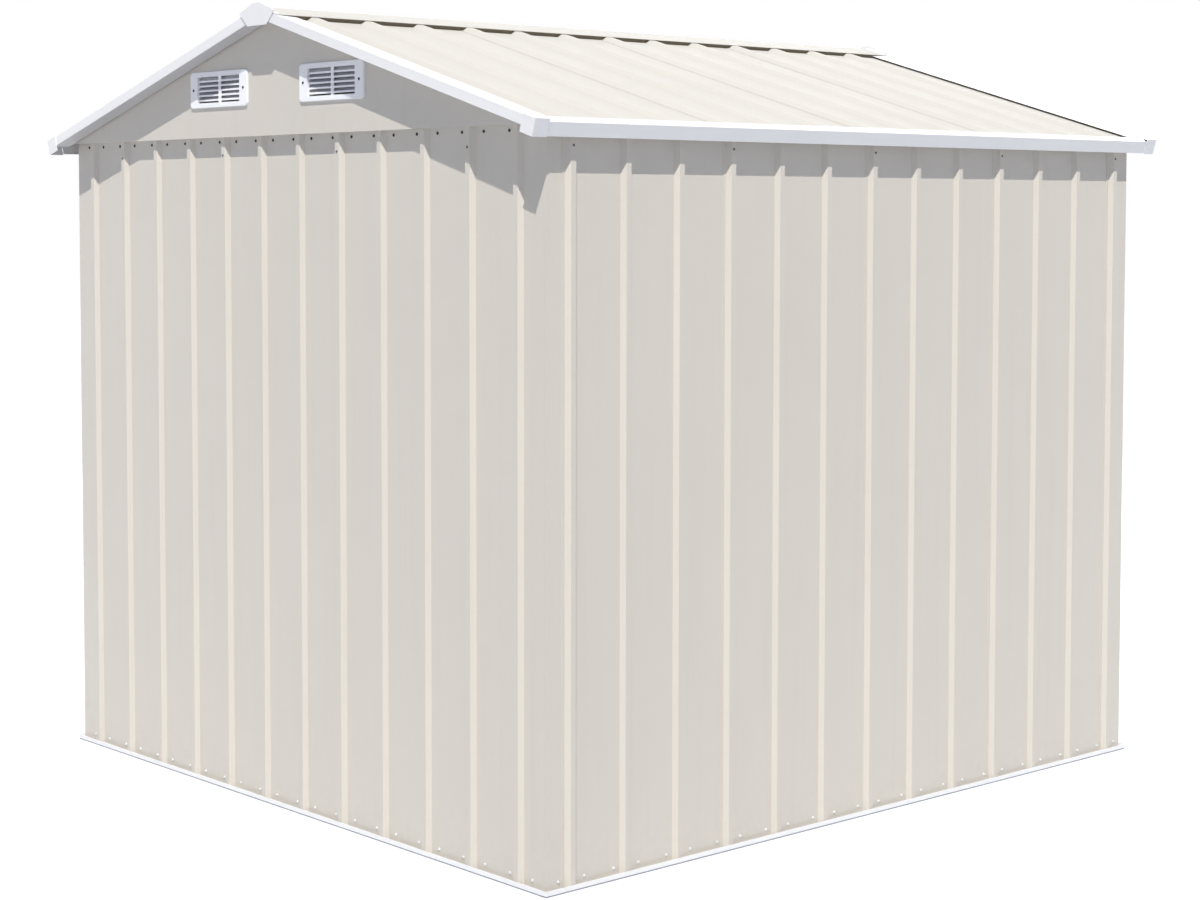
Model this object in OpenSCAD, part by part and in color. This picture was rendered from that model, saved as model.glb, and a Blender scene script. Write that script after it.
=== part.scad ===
// Metal storage shed: ribbed steel wall and roof sheets on a folded base rail, with a
// shallow gable roof, louvred gable vents and a pair of sliding doors in the front gable.
// Millimetres. +Z is up, the front gable faces -Y, and the origin is on the ground in the middle.

/* [Wall sheets] */
// Distance from one pressed rib to the next on the walls
rib_pitch = 170; // [150:1:190]
// Corner of a gable wall to its first rib
gable_margin = 95; // [80:1:120]
// Corner of a side wall to its first rib
side_margin = 70; // [55:1:90]
// Width of a wall rib where it leaves the flat sheet
rib_base = 34; // [28:1:44]
// Width of the flat top of a wall rib
rib_crest = 15; // [10:1:20]
// Height of a wall rib above the flat sheet
rib_h = 11; // [8:0.5:14]
// Thickness of the wall and roof sheets
sheet = 1; // [0.8:0.1:1.5]
// Flat edge of a covering sheet that lies on its neighbour
lap = 8; // [5:1:14]
// Height of the top edge of the wall sheets
wall_top = 1739; // [1600:1:1900]

/* [Base rails] */
// Thickness of the folded rails and trims
rail_t = 1.2; // [1:0.1:2]
// Height of the outer lip of a base rail
lip_h = 14; // [10:1:25]
// Height of the set-back foot under the outer lip
foot_h = 3.5; // [2:0.5:6]
// Depth of the set-back of the foot
foot_in = 2.5; // [1.5:0.1:4]
// Room between the wall ribs and the outer lip
lip_gap = 0.6; // [0.3:0.1:3]
// Height of the inner upright of a base rail
upright_h = 45; // [30:1:70]
// Depth of the door track behind the front wall
track_depth = 36; // [34:1:60]
// Height of the inner lip of the door track
track_lip_h = 20; // [12:1:40]

/* [Roof] */
// Slope of the roof
roof_angle = 16.2; // [10:0.1:25]
// Room between the tops of the walls and the roof sheets
roof_seat = 3.4; // [0.3:0.1:6]
// Reach of the roof past the side walls
eave_out = 44; // [42:1:80]
// Reach of the roof past the gable walls
verge_out = 72; // [50:1:100]
// Distance from one roof rib to the next
roof_pitch = 168.5; // [150:0.5:172]
// Rear verge to the first roof rib
roof_first_rib = 122; // [100:1:150]
// Least distance from the last roof rib to the front verge
roof_end_margin = 95; // [85:1:160]
// Width of a roof rib where it leaves the flat sheet
roof_rib_base = 42; // [34:1:52]
// Width of the flat top of a roof rib
roof_rib_crest = 20; // [12:1:26]
// Height of a roof rib
roof_rib_h = 9; // [7:0.5:14]
// Open gap between the two slopes under the ridge cap
ridge_gap = 24; // [10:1:60]

/* [Roof trims] */
// Half width of the ridge cap
ridge_cap_half = 80; // [50:1:110]
// Height of the face of a verge trim, square to the slope
verge_face = 24.5; // [18:0.5:40]
// Width of the top flange of a verge trim
verge_flange = 66; // [40:1:72]
// Room under the inner edge of a verge trim's flange
flange_gap = 5.5; // [2:0.5:7]
// Width of a roof sheet's raised edge under a verge trim
verge_seat = 8; // [4:1:14]
// Height of the face of an eave trim, square to the slope
eave_face = 33; // [26:1:60]
// Width of the top flange of an eave trim
eave_flange = 16; // [12:1:24]
// Drop of an eave trim's outer edge below the tops of the roof ribs
eave_dip = 7; // [3:0.5:9]
// Overlap of an eave trim on the ends of the roof sheets
eave_lap = 3; // [2:0.5:8]
// Width of the bottom return of an eave trim
eave_return = 6; // [4:1:20]
// Length of an eave corner cap along the eave
cap_l = 41; // [30:1:60]
// Width of an eave corner cap up the slope
cap_w = 43; // [40:1:60]
// Length of a verge trim inside an eave corner cap
cap_in = 12; // [5:1:20]
// Open joint between an eave trim and a corner cap
cap_joint = 1; // [0.5:0.1:2]
// Wall of the moulded caps
cap_t = 1.6; // [1.2:0.1:3]
// Half width of a ridge end cap
end_cap_half = 78; // [72:1:115]
// Half width of the flat bottom of a ridge end cap
end_cap_foot = 42; // [20:1:60]
// Height of a ridge end cap from its shoulders down
end_cap_drop = 34; // [20:1:60]
// Half width of the flat top of a ridge end cap
end_cap_flat = 16; // [8:1:24]
// Height of a ridge end cap above the ridge cap
end_cap_rise = 10; // [4:1:20]
// Thickness of the plate of a ridge end cap
end_cap_t = 3; // [2:0.5:6]
// Depth of the saddle of a ridge end cap on the ridge cap
saddle_l = 16; // [8:1:30]

/* [Gable panels] */
// Outer face of a gable panel from the flat of the wall below
panel_out = 22.5; // [15:0.5:35]
// Open joint between a gable panel and the roof sheets
panel_joint = 3; // [1:0.5:6]
// Overlap of a gable panel below the top edge of the wall
panel_lap = 2.5; // [1:0.5:20]
// Height of the fixing flange behind a gable panel
sill_h = 26; // [15:1:40]

/* [Vents] */
// Width of a gable vent
vent_w = 270; // [200:1:320]
// Height of a gable vent
vent_h = 95; // [80:1:120]
// Distance of a vent from the middle of the gable
vent_x = 252; // [180:1:300]
// Height of the middle of a vent above the top edge of the wall
vent_rise = 124; // [85:1:140]
// Reach of a vent frame past the gable panel
vent_proud = 5; // [3:0.5:14]
// Depth and width of the step round the edge of a vent frame
vent_step = 1.6; // [1:0.1:2.5]
// Depth of the vent spigot behind the outer face of the panel
vent_depth = 18; // [14:0.5:24]
// Depth of the slats' front edges behind the front of the vent frame
slat_recess = 6; // [3:0.5:8]
// Width of the vent frame at its ends
vent_border_x = 35; // [25:1:50]
// Width of the vent frame at its top and bottom
vent_border_z = 13; // [10:1:20]
// Radius of the vent frame's corners
vent_r = 11; // [5:1:20]
// Thickness of a vent slat
slat_t = 2; // [1.4:0.1:3]
// Height of the front edge of a vent slat
slat_nose = 4.4; // [3:0.1:6]
// Tilt of a vent slat
slat_tilt = 45; // [30:1:48]
// Drop of the row of slats below the middle of the vent
slat_drop = 2.4; // [0:0.1:3]
// Width of the middle bar of a vent
mullion_w = 11; // [6:1:20]

/* [Doors] */
// Half width of the doorway
door_half = 510; // [460:1:540]
// Height of the header above the doorway
header_h = 88; // [60:1:140]
// Height of the back of the header
header_back_h = 44; // [30:1:60]
// Room above a door leaf inside the header
door_head = 22; // [12:1:40]
// Lap of a door leaf behind the fixed front sheet
door_lap = 25; // [15:1:40]
// Room between the fixed front sheets and the ribs of a door leaf
door_gap = 5; // [4:0.5:8]
// Gap between the two closed leaves
meeting_gap = 3; // [1:0.5:8]
// Depth of the folded edges of a door leaf
door_fold = 14; // [8:1:18]
// Height of a cross brace on the back of a door leaf
brace_h = 60; // [30:1:100]
// Height of a door pull
pull_h = 130; // [90:1:200]
// Width of the plate of a door pull
pull_w = 30; // [20:1:40]
// Reach of the grip of a door pull
pull_reach = 24; // [15:1:30]
// Height of the middle of a door pull above the ground
pull_z = 900; // [700:1:1100]
// Thickness of the plate of a door pull
pull_plate = 4; // [3:0.5:6]
// Thickness of the grip of a door pull
pull_grip = 10; // [6:1:12]
// Width of the outer face of a door jamb
jamb_w = 32; // [20:1:40]

/* [Roof frame] */
// Height of a top rail on the inside of a wall
top_rail_h = 44; // [30:1:80]
// Width of a top rail's flange and of a roof beam
beam_w = 30; // [20:1:50]
// Depth of a roof beam
beam_h = 45; // [30:1:70]
// Distance of a purlin from the ridge, along the slope
purlin_at = 560; // [400:1:700]

/* [Hidden] */
// Ribs on a gable wall and on a side wall, and ribs from one wall seam to the next
gable_ribs = 12;
side_ribs = 13;
ribs_per_sheet = 3;
// Sheets on each roof slope
roof_panels = 4;
// Slats of a vent
slats = 5;
// Depth kept free behind the slats of a vent
net_room = 4;
// Clearance of pieces that seat on each other without a tight fit
seat_gap = 0.3;
// How much a tool reaches past the face that it cuts
past = 5;

wall_w = (gable_ribs - 1) * rib_pitch + 2 * gable_margin;
wall_l = (side_ribs - 1) * rib_pitch + 2 * side_margin;
roof_w = wall_w + 2 * eave_out;
roof_l = wall_l + 2 * verge_out;
roof_ribs = 1 + floor((roof_l - roof_first_rib - roof_end_margin) / roof_pitch);
ribs_per_roof_sheet = floor((roof_ribs - 1) / roof_panels);

// Outermost reach of a covering rib, and the heights that the roof takes from the walls
rib_out = rib_h + sheet;
slope = tan(roof_angle);
sheet_drop = sheet / cos(roof_angle);
ridge_z = wall_top + roof_seat + sheet_drop + slope * (wall_w / 2 + rib_out);
function roof_z(x) = ridge_z - slope * abs(x);
function under_z(x) = roof_z(x) - sheet_drop;

// Heights square to the slope: tops of the roof ribs, and underside of the ridge cap
crest_o = roof_rib_h;
cap_o = roof_rib_h + max(sheet, rail_t);

wall_foot = foot_h + rail_t;
panel_z = wall_top - panel_lap;
vent_z = wall_top + vent_rise;
header_z = wall_top - header_h;

wall_colour = [0.85, 0.83, 0.80];
trim_colour = [0.95, 0.95, 0.96];
roof_colour = [0.93, 0.91, 0.86];
plastic_colour = [0.97, 0.97, 0.98];
frame_colour = [0.78, 0.79, 0.80];
grip_colour = [0.20, 0.20, 0.21];

// A wall's own frame: x runs to the right as seen from outside, -y points outwards
module on_front() { translate([0, -wall_l / 2, 0]) children(); }
module on_right() { rotate([0, 0, 90]) translate([0, -wall_w / 2, 0]) children(); }
module on_rear() { rotate([0, 0, 180]) translate([0, -wall_l / 2, 0]) children(); }
module on_left() { rotate([0, 0, 270]) translate([0, -wall_w / 2, 0]) children(); }

// A profile in a wall's frame drawn as outward reach and height, run along x from x0 to x1
module run_along(x0, x1) {
  translate([x0, 0, 0]) rotate([90, 0, 90]) linear_extrude(x1 - x0) children();
}

// An outline in a wall's frame drawn as x and height, with thickness from reach o0 to o1
module stand_at(o0, o1) {
  translate([0, -o0, 0]) rotate([90, 0, 0]) linear_extrude(o1 - o0) children();
}

// A slope's own frame: x from the rear verge, y square to the slope, z down from the ridge
module on_left_slope() {
  translate([0, roof_l / 2, ridge_z])
    rotate([0, -roof_angle, 0]) rotate([0, 0, -90]) rotate([90, 0, 0]) children();
}
module on_right_slope() { mirror([1, 0, 0]) on_left_slope() children(); }

function reversed(list) = [for (i = [len(list) - 1:-1:0]) list[i]];

// Ribs, counted from 1, by their distance from the middle of a wall or from the rear verge
function wall_rib(i, count) = (i - (count + 1) / 2) * rib_pitch;
function roof_rib(i) = roof_first_rib + (i - 1) * roof_pitch;

// Paths of a sheet's outer face as pairs of place and reach: a whole rib, a rib that covers
// the neighbour's, and a rib that the neighbour covers
function rib(s, b, c, h) = [[s - b / 2, 0], [s - c / 2, h], [s + c / 2, h], [s + b / 2, 0]];
function cover_rib(s, b, c, h) = [
  [s - b / 2 - lap, sheet], [s - b / 2, sheet],
  [s - c / 2, h + sheet], [s + c / 2, h + sheet], [s + b / 2, 0]
];
function under_rib(s, b, c, h) = [[s - b / 2, 0], [s - c / 2, h], [s + c / 2 - sheet, h]];

function w_rib(s) = rib(s, rib_base, rib_crest, rib_h);
function w_cover(s) = cover_rib(s, rib_base, rib_crest, rib_h);
function w_under(s) = under_rib(s, rib_base, rib_crest, rib_h);
function r_rib(s) = rib(s, roof_rib_base, roof_rib_crest, roof_rib_h);
function r_cover(s) = cover_rib(s, roof_rib_base, roof_rib_crest, roof_rib_h);
function r_under(s) = under_rib(s, roof_rib_base, roof_rib_crest, roof_rib_h);

function ribs_between(a, b, count) = [for (i = [a + 1:1:b - 1]) each w_rib(wall_rib(i, count))];
function roof_ribs_between(a, b) = [for (i = [a + 1:1:b - 1]) each r_rib(roof_rib(i))];

// A bent sheet as a closed outline, from the path of its outer face
function bent(path) = concat(path, [for (p = reversed(path)) [p[0], p[1] - sheet]]);

// A flat wall sheet in its wall's frame
module wall_sheet(path) {
  color(wall_colour)
    translate([0, 0, wall_foot]) linear_extrude(wall_top - wall_foot)
      polygon([for (p = bent(path)) [p[0], -p[1]]]);
}

// A sheet bent round the right-hand corner of a wall of half length h: path a lies on the
// wall, and path b on the next wall, measured from the corner
module corner_sheet(h, a, b) {
  outer = concat([for (p = a) [p[0], -p[1]]], [[h, 0]], [for (p = b) [h + p[1], p[0]]]);
  inner = concat(
    [for (p = a) [p[0], sheet - p[1]]], [[h - sheet, sheet]], [for (p = b) [h + p[1] - sheet, p[0]]]
  );
  color(wall_colour)
    translate([0, 0, wall_foot]) linear_extrude(wall_top - wall_foot)
      polygon(concat(outer, reversed(inner)));
}

module corner_after_gable() {
  last = gable_ribs;
  corner_sheet(
    wall_w / 2,
    concat(w_cover(wall_rib(last - 1, gable_ribs)), w_rib(wall_rib(last, gable_ribs))),
    w_under(side_margin)
  );
}
module corner_after_side() {
  corner_sheet(
    wall_l / 2,
    w_cover(wall_rib(side_ribs, side_ribs)),
    concat(w_rib(gable_margin), w_under(gable_margin + rib_pitch))
  );
}

// A sheet from one seam rib to the next
module seam_sheet(first, count) {
  last = first + ribs_per_sheet;
  wall_sheet(concat(
    w_cover(wall_rib(first, count)), ribs_between(first, last, count), w_under(wall_rib(last, count))
  ));
}

// Base rails

// A rail cut to a mitre at the ends of a wall of that half length
module mitred(half, out, in) {
  intersection() {
    children();
    linear_extrude(wall_top)
      polygon([[-half - out, -out], [half + out, -out], [half - in, in], [-half + in, in]]);
  }
}

rail_out = rib_out + lip_gap + rail_t;

// The outer lip of a rail and its set-back foot, from the top of the web to the ground
function lip_path() = [
  [foot_in + rail_t - rail_out, rail_t], [foot_in + rail_t - rail_out, wall_foot],
  [rail_t - rail_out, wall_foot], [rail_t - rail_out, lip_h], [-rail_out, lip_h],
  [-rail_out, foot_h], [foot_in - rail_out, foot_h], [foot_in - rail_out, 0]
];

module wall_rail(half) {
  in = sheet + rail_t;
  color(trim_colour) mitred(half, rail_out, in) run_along(-half - rail_out, half + rail_out)
    polygon(concat([[in, 0], [in, upright_h], [sheet, upright_h], [sheet, rail_t]], lip_path()));
}

module track_rail(half) {
  in = track_depth + rail_t;
  color(trim_colour) mitred(half, rail_out, in) run_along(-half - rail_out, half + rail_out)
    polygon(concat(
      [[in, 0], [in, track_lip_h], [track_depth, track_lip_h], [track_depth, rail_t]], lip_path()
    ));
}

module base_rail_front() { on_front() track_rail(wall_w / 2); }
module base_rail_right() { on_right() wall_rail(wall_l / 2); }
module base_rail_rear() { on_rear() wall_rail(wall_w / 2); }
module base_rail_left() { on_left() wall_rail(wall_l / 2); }

// Walls

module corner_front_left() { on_left() corner_after_side(); }
module corner_front_right() { on_front() corner_after_gable(); }
module corner_rear_right() { on_right() corner_after_side(); }
module corner_rear_left() { on_rear() corner_after_gable(); }

// The first seam of a gable wall is on its second rib, and that of a side wall on its first
module rear_panel(k) { on_rear() seam_sheet(2 + (k - 1) * ribs_per_sheet, gable_ribs); }
module left_panel(k) { on_left() seam_sheet(1 + (k - 1) * ribs_per_sheet, side_ribs); }
module right_panel(k) { on_right() seam_sheet(1 + (k - 1) * ribs_per_sheet, side_ribs); }

// Ribs of the front wall that lie clear of the doorway and its jambs
jamb_clear = door_half + jamb_w + rib_base / 2;
module front_panel_left() {
  kept = [for (i = [3:1:gable_ribs - 2]) if (wall_rib(i, gable_ribs) < -jamb_clear) i];
  on_front() wall_sheet(concat(
    w_cover(wall_rib(2, gable_ribs)),
    [for (i = kept) each w_rib(wall_rib(i, gable_ribs))],
    [[-door_half, 0]]
  ));
}
module front_panel_right() {
  kept = [for (i = [3:1:gable_ribs - 2]) if (wall_rib(i, gable_ribs) > jamb_clear) i];
  on_front() wall_sheet(concat(
    [[door_half, 0]],
    [for (i = kept) each w_rib(wall_rib(i, gable_ribs))],
    w_under(wall_rib(gable_ribs - 1, gable_ribs))
  ));
}

// Doors

// Reach of the flat of a door leaf, and its height inside the header
door_flat = -sheet - door_gap - rib_h;
door_top = wall_top - rail_t - door_head;
leaf_w = door_half + door_lap - meeting_gap / 2;
leaf_mid = meeting_gap / 2 + leaf_w / 2;

module door_leaf() {
  x0 = meeting_gap / 2;
  x1 = x0 + leaf_w;
  ribs = [for (k = [-1:1:1]) each w_rib(leaf_mid + k * rib_pitch)];
  path = [for (p = concat([[x0, 0]], ribs, [[x1, 0]])) [p[0], p[1] + door_flat]];
  color(wall_colour) {
    translate([0, 0, rail_t]) linear_extrude(door_top - rail_t)
      polygon([for (p = bent(path)) [p[0], -p[1]]]);
    for (x = [x0, x1 - sheet])
      translate([x, -door_flat, rail_t]) cube([sheet, door_fold + sheet, door_top - rail_t]);
    for (z = [rail_t, (door_top - brace_h) / 2, door_top - brace_h])
      translate([x0, sheet - door_flat, z]) cube([leaf_w, rail_t, brace_h]);
  }
}
module door_right() { on_front() door_leaf(); }
module door_left() { on_front() mirror([1, 0, 0]) door_leaf(); }

// A moulded pull on the flat of each leaf, beside the edge where the leaves meet
module door_pull() {
  flat_w = leaf_mid - rib_pitch - rib_base / 2;
  plate = -door_flat - pull_plate;
  grip = -door_flat - pull_reach;
  translate([flat_w / 2, 0, pull_z - pull_h / 2]) linear_extrude(pull_h)
    polygon([
      [-pull_w / 2, -door_flat], [-pull_w / 2, plate], [-pull_grip / 2, plate],
      [-pull_grip / 4, grip], [pull_grip / 2, grip], [pull_grip / 2, plate],
      [pull_w / 2, plate], [pull_w / 2, -door_flat]
    ]);
}
module door_pulls() {
  color(grip_colour) on_front() {
    door_pull();
    mirror([1, 0, 0]) door_pull();
  }
}

// A folded jamb over the edge of each fixed front sheet
module door_jamb() {
  edge = -door_half;
  color(trim_colour) translate([0, 0, rail_t]) linear_extrude(header_z - rail_t)
    polygon([
      [edge - jamb_w, 0], [edge, 0], [edge, sheet], [edge - jamb_w / 2, sheet],
      [edge - jamb_w / 2, sheet + rail_t], [edge + rail_t, sheet + rail_t],
      [edge + rail_t, -rail_t], [edge - jamb_w, -rail_t]
    ]);
}
module door_jambs() {
  on_front() {
    door_jamb();
    mirror([1, 0, 0]) door_jamb();
  }
}

// The header: a channel behind the front wall, open below, which the leaves run in
module door_header() {
  back = track_depth + rail_t;
  half = wall_w / 2 - sheet - seat_gap;
  color(trim_colour) on_front() run_along(-half, half) polygon([
    [sheet, header_z], [sheet + rail_t, header_z], [sheet + rail_t, wall_top - rail_t],
    [track_depth, wall_top - rail_t], [track_depth, wall_top - header_back_h],
    [back, wall_top - header_back_h], [back, wall_top], [sheet, wall_top]
  ]);
}

// Gables

module vent_places() { for (x = [-vent_x, vent_x]) translate([x, vent_z]) children(); }

spigot_t = 2;
vent_open_w = vent_w - 2 * vent_border_x;
vent_open_h = vent_h - 2 * vent_border_z;

module gable_panel() {
  reach = wall_w / 2 + rib_out;
  top_z = under_z(0) - panel_joint;
  hole_w = vent_open_w + 2 * spigot_t + 2 * seat_gap;
  hole_h = vent_open_h + 2 * spigot_t + 2 * seat_gap;
  color(wall_colour) {
    stand_at(panel_out - sheet, panel_out) difference() {
      polygon([[-reach, panel_z], [reach, panel_z], [reach, top_z - reach * slope],
        [0, top_z], [-reach, top_z - reach * slope]]);
      vent_places() square([hole_w, hole_h], center = true);
    }
    stand_at(rib_out, panel_out)
      polygon([[-reach, panel_z], [reach, panel_z], [reach, panel_z + sheet], [-reach, panel_z + sheet]]);
  }
}
module gable_panel_front() { on_front() gable_panel(); }
module gable_panel_rear() { on_rear() gable_panel(); }

module rounded(w, h, r) {
  square([w, h - 2 * r], center = true);
  square([w - 2 * r, h], center = true);
  for (x = [-1, 1], y = [-1, 1]) translate([x * (w / 2 - r), y * (h / 2 - r)]) circle(r, $fn = 48);
}

// One slat across a vent, drawn as depth and height: an upright front edge with a blade that
// rises inwards, so that rain runs out
module slat(front, back) {
  rise = (front - slat_t - back) * tan(slat_tilt);
  run_along(-(vent_open_w + spigot_t) / 2, (vent_open_w + spigot_t) / 2) polygon([
    [-front, -slat_nose / 2], [slat_t - front, -slat_nose / 2],
    [slat_t - front, slat_nose / 2 - slat_t], [-back, slat_nose / 2 - slat_t + rise],
    [-back, slat_nose / 2 + rise], [slat_t - front, slat_nose / 2], [-front, slat_nose / 2]
  ]);
}

// A moulded vent: a rounded frame with a stepped edge, a spigot through the panel, slats set
// back in the opening and a middle bar in front of them
module vent() {
  front = panel_out + vent_proud;
  back = panel_out - vent_depth;
  slat_front = front - slat_recess;
  slat_pitch = vent_open_h / (slats + 1 / 2);
  module opening() { square([vent_open_w, vent_open_h], center = true); }
  stand_at(panel_out, front - vent_step) difference() {
    rounded(vent_w, vent_h, vent_r);
    opening();
  }
  stand_at(front - vent_step, front) difference() {
    rounded(vent_w - 2 * vent_step, vent_h - 2 * vent_step, vent_r - vent_step);
    opening();
  }
  stand_at(back, panel_out) difference() {
    square([vent_open_w + 2 * spigot_t, vent_open_h + 2 * spigot_t], center = true);
    opening();
  }
  for (k = [0:1:slats - 1])
    translate([0, 0, (k - (slats - 1) / 2) * slat_pitch - slat_drop])
      slat(slat_front, back + net_room);
  stand_at(slat_front - slat_t, slat_front + slat_t / 2)
    square([mullion_w, vent_open_h + spigot_t], center = true);
}
module vent_pair() { for (x = [-vent_x, vent_x]) translate([x, 0, vent_z]) vent(); }
module gable_vents() {
  color(plastic_colour) {
    on_front() vent_pair();
    on_rear() vent_pair();
  }
}

// Rails on top of the gable walls, with a flange behind the gable panel
module gable_sill(inner) {
  half = (ridge_z - wall_top - sill_h - 2 * sheet_drop) / slope;
  front = panel_out - sheet;
  color(frame_colour) run_along(-half, half) polygon(concat(inner, [
    [rail_t - front, wall_top + rail_t], [rail_t - front, wall_top + sill_h],
    [-front, wall_top + sill_h], [-front, wall_top]
  ]));
}
module gable_top_rails() {
  back = sheet + rail_t;
  down = wall_top - top_rail_h;
  on_rear() gable_sill([
    [sheet, wall_top], [sheet, down], [back, down], [back, wall_top + rail_t]
  ]);
  on_front() gable_sill([[track_depth, wall_top], [track_depth, wall_top + rail_t]]);
}

// Angles inside the tops of the side walls
module top_angle() {
  half = wall_l / 2 - beam_w - 2 * rail_t - track_depth;
  color(frame_colour) run_along(-half, half) polygon([
    [sheet, wall_top - top_rail_h], [sheet + rail_t, wall_top - top_rail_h],
    [sheet + rail_t, wall_top - rail_t], [beam_w, wall_top - rail_t], [beam_w, wall_top],
    [sheet, wall_top]
  ]);
}
module side_top_rails() {
  on_left() top_angle();
  on_right() top_angle();
}

// Roof

// Distances down the slope: top edge of the sheets, outer face of the eave trims, and lower
// edge of the sheets under those trims
slope_top = ridge_gap / 2 / cos(roof_angle);
eave_o = cap_o - eave_dip;
eave_d = (roof_w / 2 - (eave_o + rail_t) * sin(roof_angle)) / cos(roof_angle);
slope_end = eave_d - eave_flange + eave_lap;
verge_in = rail_t + seat_gap;

// Underside of a verge trim's flange above the flat of the roof, by its distance from the verge
function flange_o(x) = crest_o - (crest_o - flange_gap) * x / verge_flange;

// The outer edges of the end sheets turn up to carry the verge trims
function verge_start() = [
  [verge_in, flange_o(verge_in)], [verge_in + verge_seat, flange_o(verge_in + verge_seat)],
  [verge_in + verge_seat + crest_o, 0]
];
function verge_end() = [for (p = reversed(verge_start())) [roof_l - p[0], p[1]]];

module roof_sheet(k) {
  first = 1 + (k - 1) * ribs_per_roof_sheet;
  last = k == roof_panels ? roof_ribs : first + ribs_per_roof_sheet;
  start = k == 1 ? concat(verge_start(), r_rib(roof_rib(1))) : r_cover(roof_rib(first));
  end = k == roof_panels
    ? concat(r_rib(roof_rib(last)), verge_end())
    : r_under(roof_rib(last));
  color(roof_colour) translate([0, 0, slope_top]) linear_extrude(slope_end - slope_top)
    polygon(bent(concat(start, roof_ribs_between(first, last), end)));
}
module roof_left(k) { on_left_slope() roof_sheet(k); }
module roof_right(k) { on_right_slope() roof_sheet(k); }

// A folded cap on the rib tops along the ridge, drawn across the roof
module ridge_section(o0, o1, half) {
  up0 = ridge_z + o0 / cos(roof_angle);
  up1 = ridge_z + o1 / cos(roof_angle);
  polygon([
    [-half, up0 - half * slope], [0, up0], [half, up0 - half * slope],
    [half, up1 - half * slope], [0, up1], [-half, up1 - half * slope]
  ]);
}
module along_ridge(y0, y1) {
  translate([0, y1, 0]) rotate([90, 0, 0]) linear_extrude(y1 - y0) children();
}
module ridge_cap() {
  color(roof_colour) along_ridge(-roof_l / 2, roof_l / 2)
    ridge_section(cap_o, cap_o + rail_t, ridge_cap_half);
}

// A moulded plate on each end of the ridge, with a saddle over the ridge cap
module ridge_end_cap() {
  top = ridge_z + (cap_o + rail_t) / cos(roof_angle) + end_cap_rise;
  shoulder = top - end_cap_half * slope;
  along_ridge(roof_l / 2, roof_l / 2 + end_cap_t) polygon([
    [end_cap_flat, top], [end_cap_half, shoulder], [end_cap_foot, shoulder - end_cap_drop],
    [-end_cap_foot, shoulder - end_cap_drop], [-end_cap_half, shoulder], [-end_cap_flat, top]
  ]);
  along_ridge(roof_l / 2 - saddle_l, roof_l / 2)
    ridge_section(cap_o + rail_t, cap_o + rail_t + cap_t, end_cap_half - end_cap_t);
}
module ridge_end_caps() {
  color(plastic_colour) {
    ridge_end_cap();
    mirror([0, 1, 0]) ridge_end_cap();
  }
}

// A folded trim along each sloping edge: a face, a wide flange that falls towards the roof and a
// short return below
verge_ret = 12;
verge_low = cap_o - verge_face;
module verge_trim() {
  stop = eave_d - cap_w + cap_in;
  color(trim_colour) translate([0, 0, slope_top]) linear_extrude(stop - slope_top)
    polygon([
      [0, verge_low], [verge_ret, verge_low], [verge_ret, verge_low + rail_t],
      [rail_t, verge_low + rail_t], [rail_t, flange_o(rail_t)], [verge_flange, flange_gap],
      [verge_flange, flange_gap + rail_t], [0, crest_o + rail_t]
    ]);
}
module verge_pair() {
  verge_trim();
  translate([roof_l, 0, 0]) mirror([1, 0, 0]) verge_trim();
}
module verge_trims() {
  on_left_slope() verge_pair();
  on_right_slope() verge_pair();
}

// A point of the right-hand slope drawn across the roof: its distance d down the slope and its
// height o square to the slope
function on_slope(d, o) = [
  d * cos(roof_angle) + o * sin(roof_angle), ridge_z - d * sin(roof_angle) + o * cos(roof_angle)
];

// A folded trim along each eave, square to the slope: a face, a flange that dips from the rib
// tops to the face, and a return below
eave_low = eave_o + rail_t - eave_face;
module eave_trim() {
  d0 = eave_d - eave_flange;
  fall = (crest_o + sheet - eave_o) / (eave_flange - eave_lap);
  o0 = crest_o + sheet + fall * eave_lap;
  half = roof_l / 2 - cap_l - cap_joint;
  color(trim_colour) along_ridge(-half, half) polygon([
    on_slope(d0, o0), on_slope(eave_d - rail_t, eave_o + fall * rail_t),
    on_slope(eave_d - rail_t, eave_low + rail_t), on_slope(eave_d - eave_return, eave_low + rail_t),
    on_slope(eave_d - eave_return, eave_low), on_slope(eave_d, eave_low),
    on_slope(eave_d, eave_o + rail_t), on_slope(d0, o0 + rail_t)
  ]);
}
module eave_trims() {
  eave_trim();
  mirror([1, 0, 0]) eave_trim();
}

// A moulded cap round each corner of the roof, over the end of the verge trim: a top, a gable
// side and an eave side, open below and towards the roof
module eave_cap() {
  d0 = eave_d - cap_w;
  d1 = eave_d + cap_t;
  low = eave_low - cap_t;
  top = crest_o + rail_t;
  y0 = roof_l / 2 - cap_l;
  color(plastic_colour) difference() {
    along_ridge(y0, roof_l / 2 + cap_t) polygon([
      on_slope(d0, low), on_slope(d1, low), on_slope(d1, top + cap_t), on_slope(d0, top + cap_t)
    ]);
    along_ridge(y0 - past, roof_l / 2) polygon([
      on_slope(d0 - past, low - past), on_slope(eave_d, low - past),
      on_slope(eave_d, top), on_slope(d0 - past, top)
    ]);
  }
}
module eave_caps() {
  for (a = [0, 1], b = [0, 1]) mirror([a, 0, 0]) mirror([0, b, 0]) eave_cap();
}

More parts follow.
